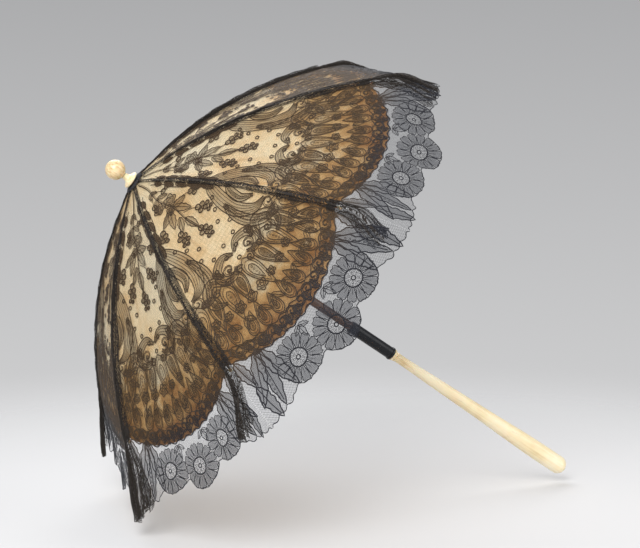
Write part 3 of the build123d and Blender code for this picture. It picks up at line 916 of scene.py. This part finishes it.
def lace_grid(name, start, end, side):
    """(across, along) of a half gore's net in one zone."""
    share = side * np.linspace(0, 1, lace_columns[name])
    rows = int(((end or flounce_floor + 20) - start) / cell_length) + 1
    step = np.linspace(0, 1, rows)[:, None]
    last = flounce_edge(share * half_width(flounce_floor, half_gore)) if end is None else end + 0 * share
    along = start + (last - start) * step
    return np.stack([share * half_width(along, half_gore), along], axis=-1)


def stretch_to_gore(gore, across, along):
    """The design is drawn for one gore; another gore's flounce is a little wider or narrower."""
    return across * half_width(along, gore_angle(gore)) / half_width(along, half_gore)


def make_lace_nets():
    made = {}
    for name, start, end, keep in lace_zones:
        grids = {side: lace_grid(name, start, end, side) for side in (-1, 1)}
        fills = {side: fill_values(grid.reshape(-1, 2)) for side, grid in grids.items()}
        for rib in range(rib_count):
            halves = []
            for gore, side in halves_over(rib):
                across, along = np.moveaxis(grids[side], -1, 0)
                places = sheet_points(gore, stretch_to_gore(gore, across, along), along, lace_lift)
                halves.append((places, grid_faces(*across.shape), grids[side], fills[side]))
            piece = cover_piece(f"lace_{name}_{rib + 1}", rib, lace, halves, "fill")
            made[name, rib] = piece, list(grids.values())
    return made


def cord_strip(points, width):
    """Design points of a raised cord: left edge, ridge and right edge at each step."""
    length = np.linalg.norm(np.diff(points, axis=0), axis=1)
    keep = np.concatenate([[True], length > 1e-6])
    points = points[keep]
    step = np.gradient(points, axis=0)
    if np.allclose(points[0], points[-1]) and len(points) > 3:
        step[0] = step[-1] = points[1] - points[-2]
    step /= np.maximum(np.linalg.norm(step, axis=1), 1e-9)[:, None]
    side = np.stack([-step[:, 1], step[:, 0]], axis=1) * width / 2
    return np.stack([points - side, points, points + side], axis=1)


def resampled(points, spacing):
    """The same line with no span longer than the spacing."""
    pieces = [points[:1]]
    for a, b in zip(points[:-1], points[1:]):
        count = max(1, int(math.ceil(np.linalg.norm(b - a) / spacing)))
        pieces.append(a + (b - a) * (np.arange(1, count + 1) / count)[:, None])
    return np.vstack(pieces)


def all_cord_strips():
    """Every cord of the design as one array of strip points, their lifts, and the spans between."""
    strips, lifts, spans, offset = [], [], [], 0
    for points, width in design.cords:
        strip = cord_strip(resampled(points, cord_step), width)
        count = len(strip)
        strips.append(strip.reshape(-1, 2))
        lifts.append(np.tile([cord_foot, cord_foot + cord_rise * width, cord_foot], count))
        first = np.arange(count - 1) * 3 + offset
        spans += [np.stack([a, a + 1, a + 4, a + 3], axis=1) for a in (first, first + 1)]
        offset += count * 3
    return np.vstack(strips), np.concatenate(lifts), np.vstack(spans)


def make_lace_cords():
    made = {}
    strips, lifts, spans = all_cord_strips()
    across, along = strips[spans].mean(axis=1).T
    in_gore = np.abs(across) < half_width(along, half_gore)
    for name, start, end, keep in lace_zones:
        in_zone = (along >= start) & (along < (end or table_length)) & in_gore
        for rib in range(rib_count):
            halves = []
            for gore, side in halves_over(rib):
                used, renumbered = np.unique(spans[in_zone & (across * side > 0)], return_inverse=True)
                cut = strips[used]
                stretched = stretch_to_gore(gore, cut[:, 0], cut[:, 1])
                places = sheet_points(gore, stretched, cut[:, 1], lace_lift + lifts[used])
                halves.append((places, renumbered.reshape(-1, 4), cut, lifts[used]))
            made[name, rib] = cover_piece(f"lace_cords_{name}_{rib + 1}", rib, cord_black, halves)
    return made


def make_silk():
    made = {}
    share = np.linspace(0, 1, silk_columns)
    hem = silk_length + hem_dip * (1 - share ** 2)
    step = np.linspace(0, 1, silk_rows)[:, None]
    for name, start, end, keep in silk_zones:
        along = start + ((hem if end is None else end) - start + 0 * share) * step
        for rib in range(rib_count):
            halves, cuts = [], []
            for gore, side in halves_over(rib):
                across = side * share * half_width(along, gore_angle(gore))
                places = sheet_points(gore, across, along)
                cuts.append(np.stack([across, along], axis=-1))
                halves.append((places, grid_faces(*along.shape), cuts[-1], along / hem))
            piece = cover_piece(f"silk_{name}_{rib + 1}", rib, silk, halves, "hem")
            made[name, rib] = piece
    return made


def pleated_band(name, rib, start, end, reach, height, pleats, hang, columns=61, rows=150):
    """Lace bunched up over a rib in overlapping pleats. end, reach, height and hang are functions.
    hang is the share of its reach beyond the start that gives way to falling straight down."""
    phase = random.uniform(0, 2 * math.pi, 5)
    spread = np.linspace(-1, 1, columns)[None, :]
    step = np.linspace(0, 1, rows)[:, None]
    along = start + (end(spread) - start) * step
    drift = 0.9 * np.sin(along / 29 + phase[0]) + 0.5 * np.sin(along / 11 + phase[1])
    turn = math.pi * pleats * spread + drift
    wander = 1 + 0.16 * np.sin(along / 19 + phase[2]) + 0.10 * np.sin(along / 7.3 + phase[3])
    offset = reach(along) * wander * (spread + 0.85 / (math.pi * pleats) * np.sin(turn) * (1 - spread ** 4))
    crest = 0.5 + 0.5 * np.cos(turn + 0.6)
    lift = lace_lift + 0.4 + height(along) * crest * (1 - 0.85 * spread ** 4)
    lift = lift + 0.35 * np.sin(along / 4.3 + 5 * spread + phase[4]) * (1 - spread ** 2)
    points = np.zeros((rows, columns, 3))
    for gore, side in halves_over(rib):
        mine = (offset * -side) >= 0
        width = half_width(along, gore_angle(gore))
        points[mine] = sheet_points(gore, side * (width - np.abs(offset)), along, lift)[mine]
    beyond = points - points[:1]
    fallen = (beyond @ world_up)[..., None] * world_up
    give = hang(along)[..., None]
    lowered = np.linalg.norm((beyond - fallen), axis=-1)[..., None] * give * 0.6
    points = points - (beyond - fallen) * give - world_up * lowered
    unrolled = np.hypot(np.diff(offset, axis=1), np.diff(lift, axis=1))
    cloth_across = np.hstack([np.zeros((rows, 1)), np.cumsum(unrolled, axis=1)])
    cut = np.stack([cloth_across, along + 0 * spread], axis=-1)
    piece = make_object(name, points.reshape(-1, 3), grid_faces(rows, columns), gathered, cut.reshape(-1, 2))
    return piece


def growing(low, high, start, end):
    """A size that grows smoothly along the rib."""
    return lambda along: low + (high - low) * smooth_step(along, start, end)


def make_rib_gathers():
    """A dark pleated band over each rib."""
    for rib in range(rib_count):
        breadth, crest = rib_breadths[rib], rib_crests[rib]
        piece = pleated_band(f"rib_gather_{rib + 1}", rib, rib_gather_start, lambda spread: rib_gather_end,
                             growing(2.2, 2.2 + breadth, 30, 250), growing(0.8, 0.8 + crest, 4, 120), 3,
                             lambda along: 0 * along)
        fold_with(piece, rib)


def make_tip_gathers():
    """Beyond each rib's tip the gathers fan out, stand up and hang over, to a ragged edge."""
    for rib in range(rib_count):
        width, hang, last = tip_spreads[rib], tip_hangs[rib], tip_ends[rib]
        piece = pleated_band(f"tip_gather_{rib + 1}", rib, tip_start,
                             lambda spread: last + 5.0 * np.abs(np.sin(9 * spread)) - 6 * np.abs(spread),
                             growing(6.0, width, tip_start, 350), growing(2.0, 7.0, tip_start, 330), 6,
                             growing(0.0, hang, tip_start, 330), 81, 60)
        fold_with(piece, rib)


def make_rosette():
    """A pressed and pleated disc of ribbon, under the collar."""
    inner, outer, pleats = 3.4, 12.8, 22
    turn = np.linspace(0, 2 * math.pi, 12 * pleats + 1)[None, :]
    share = np.linspace(0, 1, 10)[:, None]
    fold = np.sin(pleats * turn + 0.9 * np.sin(3 * turn))
    radius = inner + (outer + 0.5 * np.sin(5 * turn) - 0.6 * np.abs(fold) - inner) * share
    slope = np.maximum(radius - crown_radius, 0) * math.tan(silk_drop)
    station = crown_station - 1.9 - (0.2 + 0.9 * share) * (0.5 + 0.5 * fold) + slope
    offset = out_from_stick(turn + 0 * share) * radius[..., None] + down_stick * station[..., None]
    points = (crown + offset / 1000).reshape(-1, 3)
    flat = np.stack([turn * radius, radius], axis=-1).reshape(-1, 2)
    piece = make_object("rosette_pleats", points, grid_faces(*radius.shape), ribbon, flat)
    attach(piece, "stick_and_handle")
    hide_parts("rosette")


# The gathers' ends along the gore.
rib_gather_start = 2.0
rib_gather_end = 268.0
tip_start = 258.0

# On each rib: how broad and how high the gathers lie, how far they spread beyond the rib's tip, how
# limply they hang there, and where they end.
rib_breadths = [6.0, 3.4, 3.4, 4.0, 6.4, 3.2, 2.4, 3.8]
rib_crests = [3.6, 2.0, 2.0, 1.2, 2.0, 1.5, 1.4, 1.8]
tip_spreads = [24.0, 15.0, 15.0, 21.0, 29.0, 14.0, 17.0, 33.0]
tip_hangs = [0.05, 0.15, 0.15, 0.35, 0.08, 0.45, 0.25, 0.10]
tip_ends = [343.0, 336.0, 334.0, 344.0, 349.0, 336.0, 334.0, 346.0]

silk_pieces = make_silk()
net_pieces = make_lace_nets()
cord_pieces = make_lace_cords()
make_rib_gathers()
make_tip_gathers()
make_rosette()

for rib in range(rib_count):
    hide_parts(f"silk_panel_{rib + 1}")
    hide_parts(f"lace_panel_{rib + 1}")


# ---- The hard pieces' finishes ------------------------------------------------------------

finishes = {"ball_finial": ivory_stain_and_painted_shade, "ferrule_collar": ivory, "handle": ivory, "stick": wood,
            "sleeve": enamel, "stop_pin": steel, "joint_pin": steel, "top_catch_spring": steel,
            "bottom_catch_spring": steel, "top_notch": brass, "notch_wire": brass, "runner": brass,
            "runner_wire": brass, "joint_fork": brass, "joint_tongue": brass}
for rib in range(rib_count):
    finishes[f"rib_{rib + 1}"] = rib_black
    finishes[f"rib_tip_{rib + 1}"] = ivory
    finishes[f"stretcher_{rib + 1}"] = rib_black
for node, material in finishes.items():
    slots = frame["nodes"][node].material_slots
    for index in range(len(slots)):
        slots[index].link = "OBJECT"
        slots[index].material = material


# ---- Floor, light and camera --------------------------------------------------------------

camera_azimuth = math.radians(-22.3)
camera_elevation = math.radians(4.0)
camera_depth = 1.5          # from the camera to the crown, along the view
camera_lens = 79.9          # on the 36 mm sensor that Blender takes by default
crown_left = -0.198         # where the crown stands from the middle of the view
crown_up = 0.098
floor_radius = 1.3
floor_gap = 0.012           # keeps the floor clear of the lowest point
floor_sides = 96


def make_camera():
    sight = np.array([-math.sin(camera_azimuth) * math.cos(camera_elevation),
                      math.cos(camera_azimuth) * math.cos(camera_elevation), -math.sin(camera_elevation)])
    right = np.array([math.cos(camera_azimuth), math.sin(camera_azimuth), 0.0])
    up = np.cross(right, sight)
    data = bpy.data.cameras.new("camera")
    data.lens = camera_lens
    camera = bpy.data.objects.new("camera", data)
    bpy.context.scene.collection.objects.link(camera)
    camera.location = crown - right * crown_left - up * crown_up - sight * camera_depth
    camera.rotation_euler = Vector(sight).to_track_quat("-Z", "Y").to_euler()
    bpy.context.scene.camera = camera
    bpy.context.scene.view_settings.view_transform = "Standard"


def make_floor():
    """A plain pale disc under the parasol, which fades away at its rim."""
    shader = Shader("pale_floor")
    place = shader.place()
    cloud = shader.noise(place, 1.5, 2)
    distance = shader.node("ShaderNodeVectorMath", {0: place}, operation="LENGTH").outputs["Value"]
    colour = shader.ramp(cloud, [(0.3, (0.74, 0.74, 0.75)), (0.7, (0.77, 0.77, 0.78))])
    alpha = shader.range(distance, floor_radius * 0.98, floor_radius * 0.2, 0, 0.7)
    shader.set(color=colour, roughness=0.9, specular=0.1, alpha=alpha)
    turn = np.linspace(0, 2 * math.pi, floor_sides, endpoint=False)
    points = np.stack([floor_radius * np.cos(turn), floor_radius * np.sin(turn), 0 * turn], axis=1)
    floor = make_object("floor", points, [range(floor_sides)], shader.material)
    middle = (cad_low + cad_high) / 2
    floor.location = (middle.x, middle.y, cad_low.z - floor_gap)


def make_light(name, place, size, power, target):
    data = bpy.data.lights.new(name, "AREA")
    data.energy = power
    data.size = size
    lamp = bpy.data.objects.new(name, data)
    lamp.location = place
    lamp.rotation_euler = (Vector(target) - Vector(place)).to_track_quat("-Z", "Y").to_euler()
    bpy.context.scene.collection.objects.link(lamp)


def make_studio():
    """Grey paper that pales downwards, and three soft lights."""
    world = bpy.data.worlds.new("studio")
    world.use_nodes = True
    bpy.context.scene.world = world
    nodes = Nodes(world.node_tree)
    sight = nodes.node("ShaderNodeTexCoord").outputs["Generated"]
    height = nodes.node("ShaderNodeSeparateXYZ", {"Vector": sight}).outputs["Z"]
    inputs = {"Value": height, "From Min": -0.28, "From Max": 0.14}
    share = nodes.node("ShaderNodeMapRange", inputs).outputs["Result"]
    paper = nodes.ramp(share, [(0, (0.70, 0.70, 0.705)), (1, (0.40, 0.402, 0.41))])
    nodes.feed(world.node_tree.nodes["Background"].inputs["Color"], paper)
    middle = Vector((-0.3, 0, 0.2))
    make_light("key_left", (-1.5, -1.7, 1.6), 1.2, 62, middle)
    make_light("fill_right", (1.4, -1.5, 0.8), 1.6, 16, middle)
    make_light("top_back", (-0.3, 1.2, 1.9), 1.6, 26, middle)


make_camera()
make_floor()
make_studio()
